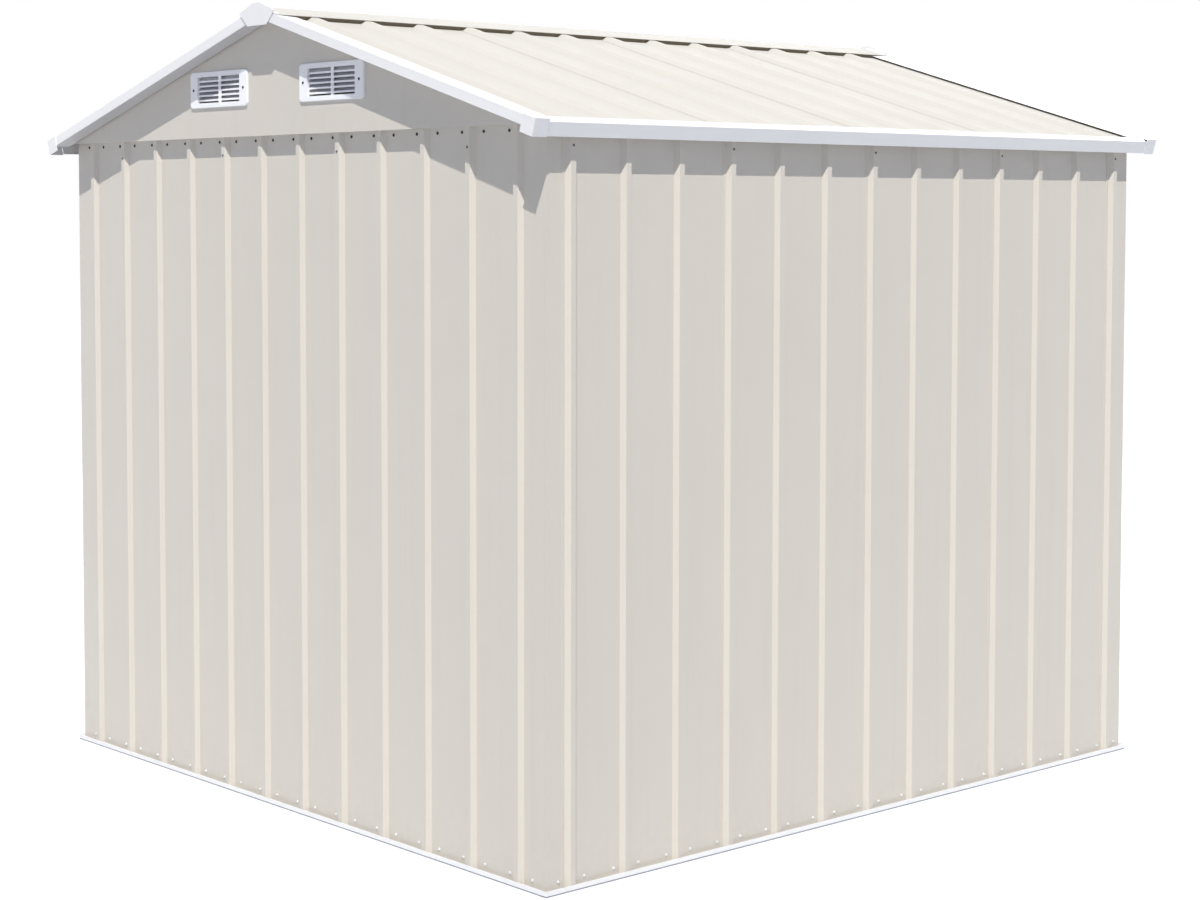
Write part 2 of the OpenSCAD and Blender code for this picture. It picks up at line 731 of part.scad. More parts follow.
// Folded beams under the roof sheets, from gable panel to gable panel: a gutter shape turned
// over under the ridge, and a channel half way down each slope
module roof_beams() {
  half = wall_l / 2 + panel_out - sheet;
  w = beam_w / 2;
  low = under_z(0) - beam_h;
  function inside(x) = under_z(x) - rail_t / cos(roof_angle);
  color(frame_colour) {
    along_ridge(-half, half) polygon([
      [-w, low], [rail_t - w, low], [rail_t - w, inside(w - rail_t)], [0, inside(0)],
      [w - rail_t, inside(w - rail_t)], [w - rail_t, low], [w, low], [w, under_z(w)],
      [0, under_z(0)], [-w, under_z(w)]
    ]);
    for (a = [0, 1]) mirror([a, 0, 0]) on_left_slope()
      translate([roof_l / 2 - half, -sheet, purlin_at]) rotate([90, 0, 90]) linear_extrude(2 * half)
        polygon([
          [0, 0], [0, beam_w], [-beam_h, beam_w], [-beam_h, 0], [rail_t - beam_h, 0],
          [rail_t - beam_h, beam_w - rail_t], [-rail_t, beam_w - rail_t], [-rail_t, 0]
        ]);
  }
}

base_rail_front();
base_rail_right();
base_rail_rear();
base_rail_left();
corner_front_left();
corner_front_right();
corner_rear_right();
corner_rear_left();
rear_panel(1);  // rear_panel_1
rear_panel(2);  // rear_panel_2
rear_panel(3);  // rear_panel_3
left_panel(1);  // left_panel_1
left_panel(2);  // left_panel_2
left_panel(3);  // left_panel_3
left_panel(4);  // left_panel_4
right_panel(1);  // right_panel_1
right_panel(2);  // right_panel_2
right_panel(3);  // right_panel_3
right_panel(4);  // right_panel_4
front_panel_left();
front_panel_right();
door_left();
door_right();
door_pulls();
door_jambs();
door_header();
gable_panel_front();
gable_panel_rear();
gable_vents();
roof_left(1);  // roof_left_1
roof_left(2);  // roof_left_2
roof_left(3);  // roof_left_3
roof_left(4);  // roof_left_4
roof_right(1);  // roof_right_1
roof_right(2);  // roof_right_2
roof_right(3);  // roof_right_3
roof_right(4);  // roof_right_4
ridge_cap();
ridge_end_caps();
verge_trims();
eave_trims();
eave_caps();
gable_top_rails();
side_top_rails();
roof_beams();
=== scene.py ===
# %% [markdown]
# # A metal storage shed
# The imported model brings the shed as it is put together: pressed wall and roof sheets, folded rails
# and trims, moulded vents and caps, all at their real size. This script gives each of them its
# finish, adds the small fixings that a drawing leaves out, and sets up a plain daylight studio.

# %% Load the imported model
import math

import bmesh
import bpy
from mathutils import Matrix, Vector


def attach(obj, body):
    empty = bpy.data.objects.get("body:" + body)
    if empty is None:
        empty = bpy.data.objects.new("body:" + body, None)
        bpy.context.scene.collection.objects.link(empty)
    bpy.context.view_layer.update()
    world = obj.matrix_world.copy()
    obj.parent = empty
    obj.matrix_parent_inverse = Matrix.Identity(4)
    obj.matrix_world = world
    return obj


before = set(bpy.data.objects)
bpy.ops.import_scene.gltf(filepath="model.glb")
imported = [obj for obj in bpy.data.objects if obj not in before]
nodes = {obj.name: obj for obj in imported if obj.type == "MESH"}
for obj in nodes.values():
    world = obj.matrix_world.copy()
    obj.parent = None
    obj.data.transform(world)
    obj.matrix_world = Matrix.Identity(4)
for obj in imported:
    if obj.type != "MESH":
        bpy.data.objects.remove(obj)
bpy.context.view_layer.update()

# %% [markdown]
# ## Where the camera stands
# The rear corner faces us, so two walls run away from it. The place, the heading and the lens were
# found by matching the ribs of both walls to the picture. The picture was cropped off its middle,
# and a camera shift does the same without turning the uprights of the shed.

# %% Camera
IMAGE_W, IMAGE_H = 1200, 900
FOCAL_PX, AXIS_PX = 2300.95, (544.74, 340.13)
HEADING, DIP = math.radians(-40.98), math.radians(-3.177)
STANDPOINT = (-4.888, 4.447, 1.540)

lens = bpy.data.cameras.new("viewpoint")
lens.sensor_width = 36.0
lens.lens = FOCAL_PX / IMAGE_W * lens.sensor_width
lens.shift_x = (IMAGE_W / 2 - AXIS_PX[0]) / IMAGE_W
lens.shift_y = (AXIS_PX[1] - IMAGE_H / 2) / IMAGE_W
camera = bpy.data.objects.new("viewpoint", lens)
camera.location = STANDPOINT
sight = Vector((math.cos(HEADING) * math.cos(DIP), math.sin(HEADING) * math.cos(DIP),
                math.sin(DIP)))
camera.rotation_euler = sight.to_track_quat("-Z", "Y").to_euler()
bpy.context.scene.collection.objects.link(camera)
bpy.context.scene.camera = camera
print("lens %.1f mm, shift %.3f %.3f" % (lens.lens, lens.shift_x, lens.shift_y))

# %% [markdown]
# ## Daylight
# One sun gives the crisp edge of shade under the roof. Its direction is read from those shadows.
# The shade itself is filled by light that comes back from the pale floor and a little sky. The two
# walls that face away from the sun get a broad soft panel, so that they can be seen as well.

# %% Sun and fill panel
bpy.context.scene.view_settings.view_transform = "Standard"
TO_SUN, SUN_POWER = Vector((-0.373, 0.370, 0.851)), 4.10
TO_PANEL, PANEL_POWER, PANEL_AWAY = Vector((0.62, -0.66, 0.42)), 280.0, 7.5


def lamp(name, kind, energy, towards, colour):
    """A lamp that shines from the direction towards."""
    data = bpy.data.lights.new(name, kind)
    data.energy = energy
    data.color = colour
    made = bpy.data.objects.new(name, data)
    made.rotation_euler = towards.to_track_quat("Z", "Y").to_euler()
    bpy.context.scene.collection.objects.link(made)
    return made


sun = lamp("sun", "SUN", SUN_POWER, TO_SUN, (1.0, 0.970, 0.920))
sun.data.angle = math.radians(0.6)
panel = lamp("fill_panel", "AREA", PANEL_POWER, TO_PANEL, (0.96, 0.98, 1.0))
panel.data.shape = "RECTANGLE"
panel.data.size, panel.data.size_y = 6.0, 4.0
panel.location = TO_PANEL * PANEL_AWAY
print("sun", sun.data.energy, "panel", panel.data.energy)

# %% [markdown]
# ## Wiring helpers
# Every finish below is a network of shader nodes. Small helpers keep the wiring short. The first adds
# a node and fills its sockets with values or links. The others are built on it: sums, a blend of two
# colours, and a value that is moved from one range to another.

# %% Helpers: nodes and sums
def add(tree, kind, inputs=None, **settings):
    """Adds a node. Inputs are values, or sockets that get linked; settings are its options."""
    made = tree.nodes.new(kind)
    for key, value in settings.items():
        setattr(made, key, value)
    for key, value in (inputs or {}).items():
        if isinstance(value, bpy.types.NodeSocket):
            tree.links.new(value, made.inputs[key])
        else:
            made.inputs[key].default_value = value
    return made


def arithmetic(tree, operation, a, b):
    return add(tree, "ShaderNodeMath", {0: a, 1: b}, operation=operation).outputs[0]


def blend_colours(tree, share, a, b):
    return add(tree, "ShaderNodeMix", {0: share, 6: a, 7: b}, data_type="RGBA").outputs[2]


def spread(tree, value, low, high, from_low=0.0, from_high=1.0):
    ranges = {0: value, 1: from_low, 2: from_high, 3: low, 4: high}
    return add(tree, "ShaderNodeMapRange", ranges).outputs[0]


print("helpers ready: nodes and sums")

# %% [markdown]
# ## Shared groups and noise
# What several finishes share is kept in a node group. It gives numbers only, so each finish still
# mixes its own colours. Most patterns start from noise at a place on the object, and stretching that
# place along an axis draws round spots out into streaks.

# %% Helpers: groups and noise
def new_group(name, inputs, outputs):
    """A shader group with named number sockets, with its input and output nodes."""
    group = bpy.data.node_groups.new(name, "ShaderNodeTree")
    for label, value in inputs.items():
        made = group.interface.new_socket(label, in_out="INPUT", socket_type="NodeSocketFloat")
        made.default_value = value
    for label in outputs:
        group.interface.new_socket(label, in_out="OUTPUT", socket_type="NodeSocketFloat")
    return group, group.nodes.new("NodeGroupInput"), group.nodes.new("NodeGroupOutput")


def use_group(tree, group, **values):
    placed = add(tree, "ShaderNodeGroup", node_tree=group)
    for label, value in values.items():
        placed.inputs[label].default_value = value
    return placed.outputs


def object_place(tree):
    return add(tree, "ShaderNodeTexCoord").outputs["Object"]


def stretched(tree, scale):
    return add(tree, "ShaderNodeMapping", {"Vector": object_place(tree), "Scale": scale}).outputs[0]


def noise(tree, place, scale, detail=2.0, rough=0.5):
    values = {"Vector": place, "Scale": scale, "Detail": detail, "Roughness": rough}
    return add(tree, "ShaderNodeTexNoise", values).outputs[0]


print("helpers ready: groups and noise")

# %% [markdown]
# ## The skin of a coil-coated sheet
# The steel is painted as a coil before it is pressed. Such paint has a fine orange-peel skin and its
# gloss changes a little from place to place. A noise of a few millimetres gives the skin, and a
# broad one gives the clouds in tone. It is a group, because walls, roof and trims all share it.

# %% Group: paint_skin
NOISE_LOW, NOISE_HIGH, PATCH_SCALE = 0.3, 0.7, 11.0
paint_skin, entry, result = new_group("paint_skin", {"Grain": 420.0, "Clouds": 2.4},
                                      ["Height", "Tone", "Gloss"])
place = object_place(paint_skin)
fine = noise(paint_skin, place, entry.outputs["Grain"], 3.0)
broad = noise(paint_skin, place, entry.outputs["Clouds"], 4.0, 0.6)
patches = noise(paint_skin, place, PATCH_SCALE, 3.0)
paint_skin.links.new(fine, result.inputs["Height"])
for pattern, label in ((broad, "Tone"), (patches, "Gloss")):
    even = spread(paint_skin, pattern, 0.0, 1.0, NOISE_LOW, NOISE_HIGH)
    paint_skin.links.new(even, result.inputs[label])
print("group:", paint_skin.name, [s.name for s in paint_skin.interface.items_tree])

# %% [markdown]
# ## Waves in thin sheet
# Sheet this thin never lies quite flat between its ribs: it bulges by about a millimetre, in long
# upright waves. Moving the mesh would change the part, so a soft bump tilts the light instead.

# %% Group: sheet_waves
WAVE_STRETCH = (1.0, 1.0, 0.3)
sheet_waves, entry, result = new_group("sheet_waves", {"Across": 5.0}, ["Height"])
long_waves = stretched(sheet_waves, WAVE_STRETCH)
swell = noise(sheet_waves, long_waves, entry.outputs["Across"], 1.0)
sheet_waves.links.new(swell, result.inputs["Height"])
print("group:", sheet_waves.name)

# %% [markdown]
# ## Dust and rain marks
# Out of doors a wall takes splashed dust along its foot, and rain draws faint upright streaks. On a
# shed that has just been put up both are barely there. The group gives one mask for the two, from
# the height above the ground and from noise stretched along the wall.

# %% Group: rain_dust
SPLASH_FULL_Z, SPLASH_END_Z = 0.014, 0.16
GRIT_SCALE, STREAK_STRETCH = 38.0, (34.0, 34.0, 0.9)
SPECK_RANGE, STREAK_RANGE = (0.4, 0.7), (0.52, 0.8)

rain_dust, entry, result = new_group("rain_dust", {"Splash": 0.25, "Streaks": 0.1}, ["Mask"])
height = add(rain_dust, "ShaderNodeSeparateXYZ", {0: object_place(rain_dust)}).outputs[2]
foot = spread(rain_dust, height, 1.0, 0.0, SPLASH_FULL_Z, SPLASH_END_Z)
grit = noise(rain_dust, object_place(rain_dust), GRIT_SCALE, 4.0, 0.65)
specks = spread(rain_dust, grit, 0.0, 1.0, *SPECK_RANGE)
splash = arithmetic(rain_dust, "MULTIPLY", arithmetic(rain_dust, "MULTIPLY", foot, specks),
                    entry.outputs["Splash"])
runs = noise(rain_dust, stretched(rain_dust, STREAK_STRETCH), 1.0, 3.0, 0.6)
streaks = arithmetic(rain_dust, "MULTIPLY", spread(rain_dust, runs, 0.0, 1.0, *STREAK_RANGE),
                     entry.outputs["Streaks"])
rain_dust.links.new(arithmetic(rain_dust, "ADD", splash, streaks), result.inputs["Mask"])
print("group:", rain_dust.name)

# %% [markdown]
# ## Starting a finish
# Every finish starts as an empty material with one Principled shader. No real paint or plastic is one
# flat colour, so a finish mixes two close tones, one a little darker and one a little lighter than
# the colour that it is given.

# %% Functions: finish and two_tones
def finish(name):
    """An empty material and its Principled shader, wired to the output."""
    material = bpy.data.materials.new(name)
    material.use_nodes = True
    tree = material.node_tree
    tree.nodes.clear()
    shader = add(tree, "ShaderNodeBsdfPrincipled")
    add(tree, "ShaderNodeOutputMaterial", {"Surface": shader.outputs[0]})
    return material, tree, shader


def two_tones(colour, change):
    return [(*(c * (1 + k * change) for c in colour), 1.0) for k in (-1, 1)]


print("two tones of a grey:", two_tones((0.5, 0.5, 0.5), 0.1))

# %% [markdown]
# ## Painted steel
# Walls, roof and trims differ in colour and gloss, not in kind, so one function makes the paint. Two
# close tones are mixed by the clouds, dust is laid over them, and two bumps follow each other: the
# waves of the sheet and the skin of the paint. The foot of a base rail is set back under its lip, and
# the shade that falls there is painted: its outer face can have a darker tone of its own.

# %% Function: painted_steel
DUST = (0.33, 0.29, 0.23, 1.0)
RAIL_FOOT_Z, RAIL_FOOT_EDGE, FACING_OUT = 0.0034, 0.0002, (0.4, 0.6)
PAINT_CHANGE, PAINT_GLOSS_CHANGE, SKIN_DEPTH = 0.012, 0.05, 0.00012


# Painted shade: a mask for the shade under the lip of a base rail, on its set-back foot.
def at_rail_foot(tree):
    """One on the outer face of a base rail's set-back foot, and none elsewhere."""
    here = add(tree, "ShaderNodeTexCoord").outputs
    height = add(tree, "ShaderNodeSeparateXYZ", {0: here["Object"]}).outputs[2]
    low = spread(tree, height, 1.0, 0.0, RAIL_FOOT_Z - RAIL_FOOT_EDGE, RAIL_FOOT_Z)
    outward = add(tree, "ShaderNodeVectorMath", {0: here["Object"], 1: here["Normal"]},
                  operation="DOT_PRODUCT").outputs["Value"]
    return arithmetic(tree, "MULTIPLY", low, spread(tree, outward, 0.0, 1.0, *FACING_OUT))


def painted_steel(name, colour, gloss, waves, dust, shine=0.5, painted_foot_shade=None):
    material, tree, shader = finish(name)
    shader.inputs["Specular IOR Level"].default_value = shine
    skin = use_group(tree, paint_skin)
    dark, light = two_tones(colour, PAINT_CHANGE)
    tone = blend_colours(tree, skin["Tone"], dark, light)
    if painted_foot_shade:
        tone = blend_colours(tree, at_rail_foot(tree), tone, painted_foot_shade)
    marks = use_group(tree, rain_dust, **dust)["Mask"]
    tree.links.new(blend_colours(tree, marks, tone, DUST), shader.inputs["Base Color"])
    roughness = spread(tree, skin["Gloss"], gloss - PAINT_GLOSS_CHANGE,
                       gloss + PAINT_GLOSS_CHANGE)
    tree.links.new(roughness, shader.inputs["Roughness"])
    swell = add(tree, "ShaderNodeBump", {"Height": use_group(tree, sheet_waves)["Height"],
                                         "Distance": waves})
    skin_bump = add(tree, "ShaderNodeBump", {"Height": skin["Height"], "Distance": SKIN_DEPTH,
                                             "Normal": swell.outputs[0]})
    tree.links.new(skin_bump.outputs[0], shader.inputs["Normal"])
    return material


print("dust colour:", DUST[:3], "skin depth:", SKIN_DEPTH)

# %% [markdown]
# ## Paint on sheets, trims and rails
# The sheets are a warm off-white, and the trims and rails are a clean white. The roof is nearly matt,
# so its shine is set low. Pieces that share a finish have names that start alike, so one call dresses
# them all.

# %% Painted pieces
def dress(material, slot, *names):
    """Gives CAD nodes whose names start with one of these a material."""
    found = [n for n in nodes if n.startswith(names)]
    for n in found:
        nodes[n].data.materials.clear()
        nodes[n].data.materials.append(material)
    print(material.name, "on", len(found), "nodes")


wall_paint = painted_steel("wall_paint", (0.648, 0.607, 0.541), 0.48, 0.0022,
                           {"Splash": 0.08, "Streaks": 0.05})
roof_paint = painted_steel("roof_paint", (0.585, 0.563, 0.518), 0.60, 0.0022,
                           {"Splash": 0.0, "Streaks": 0.03}, 0.08)
trim_paint = painted_steel("trim_paint", (0.850, 0.845, 0.845), 0.36, 0.0008,
                           {"Splash": 0.0, "Streaks": 0.03})
# The rails' last colour is painted shade on their set-back foot.
rail_paint = painted_steel("rail_paint", (0.880, 0.885, 0.890), 0.36, 0.0006,
                           {"Splash": 0.05, "Streaks": 0.0}, painted_foot_shade=(0.50, 0.52, 0.58, 1.0))
dress(wall_paint, "wall_paint", "corner_", "rear_panel", "left_panel", "right_panel", "front_panel",
      "gable_panel", "door_left", "door_right")
dress(roof_paint, "roof_paint", "roof_left", "roof_right", "ridge_cap")
dress(trim_paint, "trim_paint", "verge_trims", "eave_trims", "door_jambs", "door_header")
dress(rail_paint, "trim_paint", "base_rail")

# %% [markdown]
# ## Moulded plastic
# The vents and caps are injection moulded in white, and the door pulls in near black. A tool leaves
# a fine even grain and a slightly uneven gloss, with none of the waves of sheet. The grain is a
# small cell pattern used as bump. Behind the noses of the slats the vents are painted grey as the
# shade that falls inside the louvres, so the colour there changes with the distance from the face of
# the gable.

# %% Function: moulded_plastic
SLAT_NOSE_Y, SLAT_BACK_Y = 1.1112, 1.1098
PLASTIC_CHANGE, PLASTIC_GLOSS_CHANGE = 0.02, 0.06
TOOL_GRAIN, TOOL_CLOUDS, TOOL_CELLS = 900.0, 14.0, 700.0


# Painted shade: a mask for the shade inside the louvres, behind the noses of the slats.
def behind_slats(tree):
    """None on the face of a vent and the noses of its slats, one behind them."""
    across = add(tree, "ShaderNodeSeparateXYZ", {0: object_place(tree)}).outputs[1]
    outward = add(tree, "ShaderNodeMath", {0: across}, operation="ABSOLUTE").outputs[0]
    return spread(tree, outward, 1.0, 0.0, SLAT_BACK_Y, SLAT_NOSE_Y)


def moulded_plastic(name, colour, gloss, grain, slat_shade_colour=None):
    material, tree, shader = finish(name)
    skin = use_group(tree, paint_skin, Grain=TOOL_GRAIN, Clouds=TOOL_CLOUDS)
    dark, light = two_tones(colour, PLASTIC_CHANGE)
    tone = blend_colours(tree, skin["Tone"], dark, light)
    if slat_shade_colour:
        tone = blend_colours(tree, behind_slats(tree), tone, slat_shade_colour)
    tree.links.new(tone, shader.inputs["Base Color"])
    roughness = spread(tree, skin["Gloss"], gloss - PLASTIC_GLOSS_CHANGE,
                       gloss + PLASTIC_GLOSS_CHANGE)
    tree.links.new(roughness, shader.inputs["Roughness"])
    cells = add(tree, "ShaderNodeTexVoronoi", {"Vector": object_place(tree), "Scale": TOOL_CELLS})
    bump = add(tree, "ShaderNodeBump", {"Height": cells.outputs[0], "Distance": grain})
    tree.links.new(bump.outputs[0], shader.inputs["Normal"])
    return material


white_plastic = moulded_plastic("white_plastic", (0.84, 0.835, 0.84), 0.38, 0.00006)
# The last colour is painted shade inside the louvres.
vent_plastic = moulded_plastic("vent_plastic", (0.93, 0.935, 0.95), 0.34, 0.00006,
                               (0.62, 0.62, 0.63, 1.0))
dark_plastic = moulded_plastic("dark_plastic", (0.030, 0.030, 0.032), 0.46, 0.00018)
dress(white_plastic, "white_plastic", "eave_caps", "ridge_end_caps")
dress(vent_plastic, "white_plastic", "gable_vents")
dress(dark_plastic, "dark_plastic", "door_pulls")

# %% [markdown]
# ## Galvanised steel
# The rails inside the walls and under the roof are plain galvanised strip. Zinc sets in flat
# crystals, each with its own tone and gloss, which a Voronoi pattern draws well: one random value
# for each cell.

# %% Frame steel
frame_steel, tree, shader = finish("frame_steel")
crystals = add(tree, "ShaderNodeTexVoronoi", {"Vector": object_place(tree), "Scale": 90.0})
spangle = add(tree, "ShaderNodeSeparateColor", {0: crystals.outputs["Color"]}).outputs[0]
tree.links.new(blend_colours(tree, spangle, (0.50, 0.52, 0.53, 1), (0.66, 0.67, 0.68, 1)),
               shader.inputs["Base Color"])
tree.links.new(spread(tree, spangle, 0.34, 0.52), shader.inputs["Roughness"])
shader.inputs["Metallic"].default_value = 0.9
dress(frame_steel, "frame_steel", "gable_top_rails", "side_top_rails", "roof_beams")

# %% [markdown]
# ## Screw finishes
# The screws along the foot of the walls are bright zinc. Those under the roof are given a near black
# finish as painted shade, so they show as small dots in the shade, and the vent screws share it.
# Those on the lapped ribs are a duller grey. All are metal with a mottled surface, and the net behind
# the vents is coated in much the same way.

# %% Screw materials
MOTTLE_SCALE, SCREW_GLOSS_CHANGE = 650.0, 0.08


def screw_finish(name, dark, light, metal, gloss):
    material, tree, shader = finish(name)
    mottle = noise(tree, object_place(tree), MOTTLE_SCALE, 3.0)
    tree.links.new(blend_colours(tree, mottle, (*dark, 1), (*light, 1)), shader.inputs["Base Color"])
    roughness = spread(tree, mottle, gloss - SCREW_GLOSS_CHANGE, gloss + SCREW_GLOSS_CHANGE)
    tree.links.new(roughness, shader.inputs["Roughness"])
    shader.inputs["Metallic"].default_value = metal
    return material


zinc = screw_finish("bright_zinc", (0.72, 0.73, 0.74), (0.86, 0.86, 0.86), 0.55, 0.32)
# Near black as painted shade for the screws under the roof; the vent screws take it too.
screw_painted_shade = screw_finish("dark_screw_painted_shade", (0.022, 0.021, 0.022), (0.05, 0.048, 0.05), 0.3, 0.5)
dull_steel = screw_finish("dull_steel", (0.10, 0.10, 0.105), (0.16, 0.16, 0.165), 0.4, 0.45)
net_coat = screw_finish("screen_net", (0.16, 0.165, 0.17), (0.24, 0.245, 0.25), 0.0, 0.55)
print("screw finishes:", zinc.name, screw_painted_shade.name, dull_steel.name, net_coat.name)

# %% [markdown]
# ## One screw head
# A self-drilling screw has a round flange that presses on the sheet and a low domed head with a
# socket in it. A filled circle is pulled up, drawn in and pulled up again, so a few dozen faces are
# enough for something that repeats more than a hundred times. Its steps are shares of its radius, so
# three sizes of screw come from one function.

# %% Screw head
FLANGE_H, FLANGE_W, HEAD_H = 0.16, 0.28, 0.30
DOME_W, DOME_H, SOCKET_RIM, SOCKET_D = 0.16, 0.14, 0.22, 0.22


def as_mesh(name, bm):
    """Turns a finished bmesh into a mesh."""
    mesh = bpy.data.meshes.new(name)
    bm.to_mesh(mesh)
    bm.free()
    return mesh


def raise_face(bm, face, height):
    """Pulls a face up and returns the new top face."""
    pulled = bmesh.ops.extrude_face_region(bm, geom=[face])["geom"]
    bmesh.ops.delete(bm, geom=[face], context="FACES_ONLY")
    top = next(g for g in pulled if isinstance(g, bmesh.types.BMFace))
    bmesh.ops.translate(bm, verts=top.verts[:], vec=(0, 0, height))
    return top


def draw_in(bm, face, width, depth=0.0):
    """Draws a face in from its edges, and lifts it by depth."""
    bmesh.ops.inset_region(bm, faces=[face], thickness=width, depth=depth, use_even_offset=True)
    return face


def screw_head(radius, sides=10):
    bm = bmesh.new()
    bmesh.ops.create_circle(bm, cap_ends=True, radius=radius, segments=sides)
    bm.faces.ensure_lookup_table()
    top = raise_face(bm, bm.faces[0], radius * FLANGE_H)
    top = draw_in(bm, top, radius * FLANGE_W)
    top = raise_face(bm, top, radius * HEAD_H)
    top = draw_in(bm, top, radius * DOME_W, radius * DOME_H)
    top = draw_in(bm, top, radius * SOCKET_RIM)
    raise_face(bm, top, -radius * SOCKET_D)
    bmesh.ops.recalc_face_normals(bm, faces=bm.faces[:])
    return as_mesh("screw_head", bm)


small_head, seam_head, vent_head = screw_head(0.0040), screw_head(0.0032), screw_head(0.0036)
print("screw head faces:", len(small_head.polygons))

# %% [markdown]
# ## Rows of screws
# Each place is a point on a sheet and the direction that the sheet faces. One bmesh takes a copy of
# the head for each place, so a whole row is a single piece that rides with the shed.

# %% Function: fasten
FACES = {"rear": Vector((0, 1, 0)), "front": Vector((0, -1, 0)),
         "left": Vector((-1, 0, 0)), "right": Vector((1, 0, 0))}
WALL_X, WALL_Y = 1.030, 1.090


def on_wall(wall, along, height, reach=0.0):
    """A point on a wall, by its place along the wall, its height and its reach off the flat."""
    if wall in ("rear", "front"):
        return Vector((along, FACES[wall].y * (WALL_Y + reach), height)), FACES[wall]
    return Vector((FACES[wall].x * (WALL_X + reach), along, height)), FACES[wall]


def set_on(point, outward):
    """The move that lays a flat shape on a wall."""
    return Matrix.Translation(point) @ outward.to_track_quat("Z", "Y").to_matrix().to_4x4()


def copy_in(bm, mesh):
    """Adds a copy of a mesh to a bmesh and returns its corners."""
    before = len(bm.verts)
    bm.from_mesh(mesh)
    bm.verts.ensure_lookup_table()
    return bm.verts[before:]


def as_piece(name, bm, material):
    """Makes a finished bmesh a piece of the shed."""
    mesh = as_mesh(name, bm)
    mesh.materials.append(material)
    piece = bpy.data.objects.new(name, mesh)
    bpy.context.scene.collection.objects.link(piece)
    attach(piece, "root")
    print(name, "faces:", len(mesh.polygons))


def fasten(name, head, places, material):
    """One piece from a copy of a screw head at each place."""
    bm = bmesh.new()
    for point, outward in places:
        bmesh.ops.transform(bm, matrix=set_on(point, outward), verts=copy_in(bm, head))
    as_piece(name, bm, material)


print("flats of the walls at", WALL_X, "and", WALL_Y)

# %% [markdown]
# ## Screws along the foot and the top of the walls
# The sheets are fixed to the base rail by a screw on each side of every rib, just above the lip of
# the rail. The gable walls have the same row along their top edge, under the gable panel. On the
# front the foot row stops at the doorway, and the top row runs on over its header.

# %% Foot and top rows
PITCH, BESIDE = 0.170, 0.0395
GABLE_SHIFT, SIDE_SHIFT = 0.0065, 0.004
FOOT_Z, TOP_Z = 0.025, 1.725
gable_ribs = [(i - 5.5) * PITCH for i in range(12)]
side_ribs = [(i - 6) * PITCH for i in range(13)]
DOORWAY, HEADER_HALF, HEADER_BACK = 0.560, 0.51, 0.001


def beside(ribs, shift):
    return [r - shift + k * BESIDE for r in ribs for k in (-1, 1)]


on_gable, on_side = beside(gable_ribs, GABLE_SHIFT), beside(side_ribs, SIDE_SHIFT)
foot_row = [on_wall("rear", a, FOOT_Z) for a in on_gable]
foot_row += [on_wall(w, a, FOOT_Z) for w in ("left", "right") for a in on_side]
foot_row += [on_wall("front", a, FOOT_Z) for a in on_gable if abs(a) > DOORWAY]
fasten("foot_screws", small_head, foot_row, zinc)

top_row = [on_wall("rear", a, TOP_Z) for a in on_gable]
top_row += [on_wall("front", a, TOP_Z, 0.0 if abs(a) > HEADER_HALF else -HEADER_BACK)
            for a in on_gable]
# Dark as painted shade under the roof.
fasten("gable_top_screws", small_head, top_row, screw_painted_shade)

# %% [markdown]
# ## Screws on the lapped ribs
# Where two sheets lap, the covering rib is held by one screw near its top. These sit on the crest of
# every third rib.

# %% Seam screws
CREST, SEAM_Z = 0.012, 1.690
seams = [on_wall(w, r, SEAM_Z, CREST) for w in ("left", "right") for r in side_ribs[::3]]
seams += [on_wall("rear", r, SEAM_Z, CREST) for r in gable_ribs[1::3]]
seams += [on_wall("front", r, SEAM_Z, CREST) for r in (gable_ribs[1], gable_ribs[10])]
fasten("seam_screws", seam_head, seams, dull_steel)

# %% [markdown]
# ## Vent screens and screws
# Behind the slats of each vent is a net against insects. It is a grid of cells turned into wires by
# the wireframe operator, so that it is a real net and not a picture of one. One screw holds each end
# of the vent frame.

# %% Vents
VENT_X, VENT_Z, VENT_OPEN = 0.252, 1.863, (0.200, 0.069)
SCREEN_REACH, VENT_FRONT, VENT_SCREW = 0.0065, 0.0275, 0.1175
NET_CELLS, NET_WIRE = (44, 15), 0.0011


def screens():
    bm = bmesh.new()
    for wall in ("rear", "front"):
        for x in (-VENT_X, VENT_X):
            size = Matrix.Diagonal((VENT_OPEN[0] / 2, VENT_OPEN[1] / 2, 1, 1))
            bmesh.ops.create_grid(bm, x_segments=NET_CELLS[0], y_segments=NET_CELLS[1], size=1.0,
                                  matrix=set_on(*on_wall(wall, x, VENT_Z, SCREEN_REACH)) @ size)
    bmesh.ops.wireframe(bm, faces=bm.faces[:], thickness=NET_WIRE, use_replace=True,
                        use_boundary=True, use_even_offset=True)
    return bm


as_piece("vent_screens", screens(), net_coat)
ends = [on_wall(w, s * VENT_X + e * VENT_SCREW, VENT_Z, VENT_FRONT)
        for w in ("rear", "front") for s in (-1, 1) for e in (-1, 1)]
fasten("vent_screws", vent_head, ends, screw_painted_shade)

# %% [markdown]
# ## Foam fillers under the roof trims
# A flat trim on ribbed sheet leaves a row of openings, one between every two ribs. A strip of dark
# foam, cut to the shape of the ribs, closes them at the ridge and at the eaves and keeps rain and
# light out. Each block is a cube whose top is drawn wider than its foot, as the flanks of the ribs
# lean, set down on the slope by its distance from the ridge.

# %% Function: foam_row
PITCH_ANGLE = math.radians(16.2)
RIB_BASE, RIB_CREST, RIB_H, TRIM_T = 0.042, 0.020, 0.009, 0.0012
VERGE_EDGE, FIRST_RIB, ROOF_PITCH, ROOF_RIBS = 0.0195, 0.122, 0.1685, 13


def reach_of(name, axis):
    """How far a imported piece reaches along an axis."""
    return max(v.co[axis] for v in nodes[name].data.vertices)


apex_z = reach_of("ridge_cap", 2) - (RIB_H + 2 * TRIM_T) / math.cos(PITCH_ANGLE)
verge_y = reach_of("verge_trims", 1)


